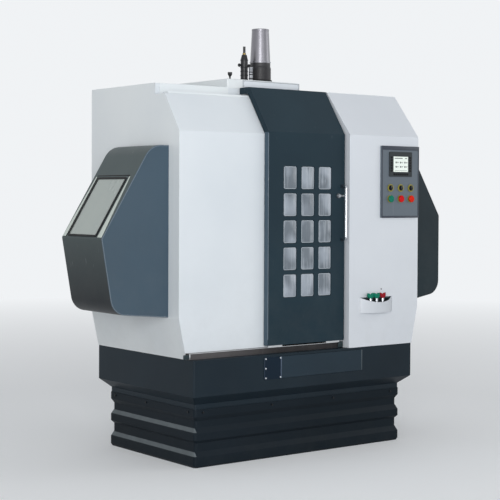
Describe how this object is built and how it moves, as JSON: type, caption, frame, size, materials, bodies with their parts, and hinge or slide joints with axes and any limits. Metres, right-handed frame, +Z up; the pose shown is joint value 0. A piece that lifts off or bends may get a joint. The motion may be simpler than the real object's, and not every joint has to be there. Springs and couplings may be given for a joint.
{
  "type": "cnc machining center",
  "caption": "Enclosed vertical machining centre with a windowed sliding door, side hoods, control panel, valve pocket, chip drawer and ribbed pedestal.",
  "frame": {"origin": "on the floor, at the middle of the four anchor holes in the pedestal's foot", "axes": "+X to the operator's right, +Y to the back, +Z up"},
  "size_m": [2.3262, 1.1703, 2.315],
  "materials": {
    "white_paint": "satin",
    "slate_paint": "satin",
    "dark_paint": "satin",
    "control_paint": "matte",
    "casting_paint": "painted",
    "machined_iron": "machined",
    "motor_black": "satin",
    "steel": "ground",
    "chrome_steel": "polished",
    "light_alloy": "brushed",
    "black_rubber": "matte",
    "black_plastic": "matte",
    "nylon": "matte",
    "olive_plastic": "satin",
    "green_plastic": "satin",
    "red_plastic": "satin",
    "orange_plastic": "satin",
    "clear_glass": "clear"
  },
  "bodies": {
    "frame": {"air_unit": "motor_black", "axis_motors": "motor_black", "back_panel": "white_paint", "base_casting": "casting_paint", "cap_screws": "steel", "column": "casting_paint", "control_box": "control_paint", "control_section": "white_paint", "electrical_cabinet": "white_paint", "front_panel": "white_paint", "left_hood": "slate_paint", "left_hood_gasket": "black_rubber", "left_hood_glass": "clear_glass", "left_side_panel": "white_paint", "linear_rails": "steel", "lower_rail": "dark_paint", "motor_skirt": "black_rubber", "oil_cup": "black_plastic", "pedestal": "dark_paint", "right_hood": "slate_paint", "right_hood_gasket": "black_rubber", "right_hood_glass": "clear_glass", "right_side_panel": "white_paint", "roof_box": "white_paint", "roof_panel": "white_paint", "screen_unit": "black_plastic", "switch_collars": "olive_plastic", "tray": "dark_paint", "tray_plate": "dark_paint", "upper_rail": "white_paint", "valve_bodies": "chrome_steel", "valve_pocket": "white_paint"},
    "door": {"door_panel": "slate_paint", "door_glass": "clear_glass", "door_handle": "chrome_steel", "door_guides": "light_alloy"},
    "roller_left": {"door_roller_left": "nylon"},
    "roller_right": {"door_roller_right": "nylon"},
    "latch": {"door_latch": "chrome_steel"},
    "selector_left": {"selector_1": "black_plastic"},
    "selector_middle": {"selector_2": "black_plastic"},
    "selector_right": {"selector_3": "black_plastic"},
    "green_button": {"button_green": "green_plastic"},
    "red_button": {"button_red": "red_plastic"},
    "orange_button": {"button_orange": "orange_plastic"},
    "valve_left": {"valve_handle_1": "green_plastic"},
    "valve_middle": {"valve_handle_2": "green_plastic"},
    "valve_right": {"valve_handle_3": "red_plastic"},
    "saddle_body": {"saddle": "machined_iron"},
    "table_body": {"table": "machined_iron", "x_motor": "motor_black"},
    "x_screw_body": {"x_screw": "steel"},
    "y_screw_body": {"y_screw": "steel"},
    "z_screw_body": {"z_screw": "steel"},
    "head_body": {"head": "casting_paint", "spindle_motor": "motor_black", "motor_cowl": "light_alloy"},
    "spindle_body": {"spindle": "steel"},
    "drawer": {"chip_drawer": "dark_paint"},
    "cabinet_door_body": {"cabinet_door": "white_paint"}
  },
  "joints": [
    {"name": "door_slide", "type": "slide", "parent": "frame", "child": "door", "axis": [1, 0, 0], "range_m": [-0.48, 0]},
    {"name": "roller_left_spin", "type": "hinge", "parent": "door", "child": "roller_left", "pos_m": [-0.187, -0.211, 1.9353], "axis": [0, 1, 0], "range_deg": [-1620, 0]},
    {"name": "roller_right_spin", "type": "hinge", "parent": "door", "child": "roller_right", "pos_m": [0.193, -0.211, 1.9353], "axis": [0, 1, 0], "range_deg": [-1620, 0]},
    {"name": "latch_turn", "type": "hinge", "parent": "door", "child": "latch", "pos_m": [0.222, -0.434, 1.388], "axis": [0, 1, 0], "range_deg": [0, 75]},
    {"name": "selector_left_turn", "type": "hinge", "parent": "frame", "child": "selector_left", "pos_m": [0.572, -0.473, 1.434], "axis": [0, -1, 0], "range_deg": [-45, 45]},
    {"name": "selector_middle_turn", "type": "hinge", "parent": "frame", "child": "selector_middle", "pos_m": [0.65, -0.473, 1.434], "axis": [0, -1, 0], "range_deg": [-45, 45]},
    {"name": "selector_right_turn", "type": "hinge", "parent": "frame", "child": "selector_right", "pos_m": [0.728, -0.473, 1.434], "axis": [0, -1, 0], "range_deg": [-45, 45]},
    {"name": "green_button_press", "type": "slide", "parent": "frame", "child": "green_button", "axis": [0, 1, 0], "range_m": [0, 0.005], "stiffness_N_per_m": 400, "springref_m": -0.002},
    {"name": "red_button_press", "type": "slide", "parent": "frame", "child": "red_button", "axis": [0, 1, 0], "range_m": [0, 0.005], "stiffness_N_per_m": 400, "springref_m": -0.002},
    {"name": "orange_button_press", "type": "slide", "parent": "frame", "child": "orange_button", "axis": [0, 1, 0], "range_m": [0, 0.005], "stiffness_N_per_m": 400, "springref_m": -0.002},
    {"name": "valve_left_turn", "type": "hinge", "parent": "frame", "child": "valve_left", "pos_m": [0.418, -0.484, 0.822], "axis": [0, 0, 1], "range_deg": [0, 90]},
    {"name": "valve_middle_turn", "type": "hinge", "parent": "frame", "child": "valve_middle", "pos_m": [0.4635, -0.484, 0.822], "axis": [0, 0, 1], "range_deg": [0, 90]},
    {"name": "valve_right_turn", "type": "hinge", "parent": "frame", "child": "valve_right", "pos_m": [0.509, -0.484, 0.822], "axis": [0, 0, 1], "range_deg": [0, 90]},
    {"name": "saddle_slide", "type": "slide", "parent": "frame", "child": "saddle_body", "axis": [0, 1, 0], "range_m": [-0.09, 0.09]},
    {"name": "table_slide", "type": "slide", "parent": "saddle_body", "child": "table_body", "axis": [1, 0, 0], "range_m": [-0.18, 0.18]},
    {"name": "head_slide", "type": "slide", "parent": "frame", "child": "head_body", "axis": [0, 0, 1], "range_m": [-0.23, 0]},
    {"name": "spindle_spin", "type": "hinge", "parent": "head_body", "child": "spindle_body", "pos_m": [0, -0.02, 1.3], "axis": [0, 0, 1], "continuous": true},
    {"name": "x_screw_spin", "type": "hinge", "parent": "table_body", "child": "x_screw_body", "pos_m": [0, -0.02, 0.812], "axis": [1, 0, 0], "range_deg": [-4060, 4060]},
    {"name": "y_screw_spin", "type": "hinge", "parent": "frame", "child": "y_screw_body", "pos_m": [0, -0.04, 0.7], "axis": [0, 1, 0], "range_deg": [-2030, 2030]},
    {"name": "z_screw_spin", "type": "hinge", "parent": "frame", "child": "z_screw_body", "pos_m": [0, 0.198, 1.46], "axis": [0, 0, 1], "range_deg": [0, 5190]},
    {"name": "drawer_slide", "type": "slide", "parent": "frame", "child": "drawer", "axis": [0, -1, 0], "range_m": [0, 0.3]},
    {"name": "cabinet_door_swing", "type": "hinge", "parent": "frame", "child": "cabinet_door_body", "pos_m": [0.389, 0.6443, 1.225], "axis": [0, 0, -1], "range_deg": [0, 110]}
  ],
  "couplings": [
    {"joint": "roller_left_spin", "follows": "door_slide", "rad_per_m": 58.824},
    {"joint": "roller_right_spin", "follows": "door_slide", "rad_per_m": 58.824},
    {"joint": "x_screw_spin", "follows": "table_slide", "rad_per_m": 392.7},
    {"joint": "y_screw_spin", "follows": "saddle_slide", "rad_per_m": -392.7},
    {"joint": "z_screw_spin", "follows": "head_slide", "rad_per_m": -392.7}
  ]
}
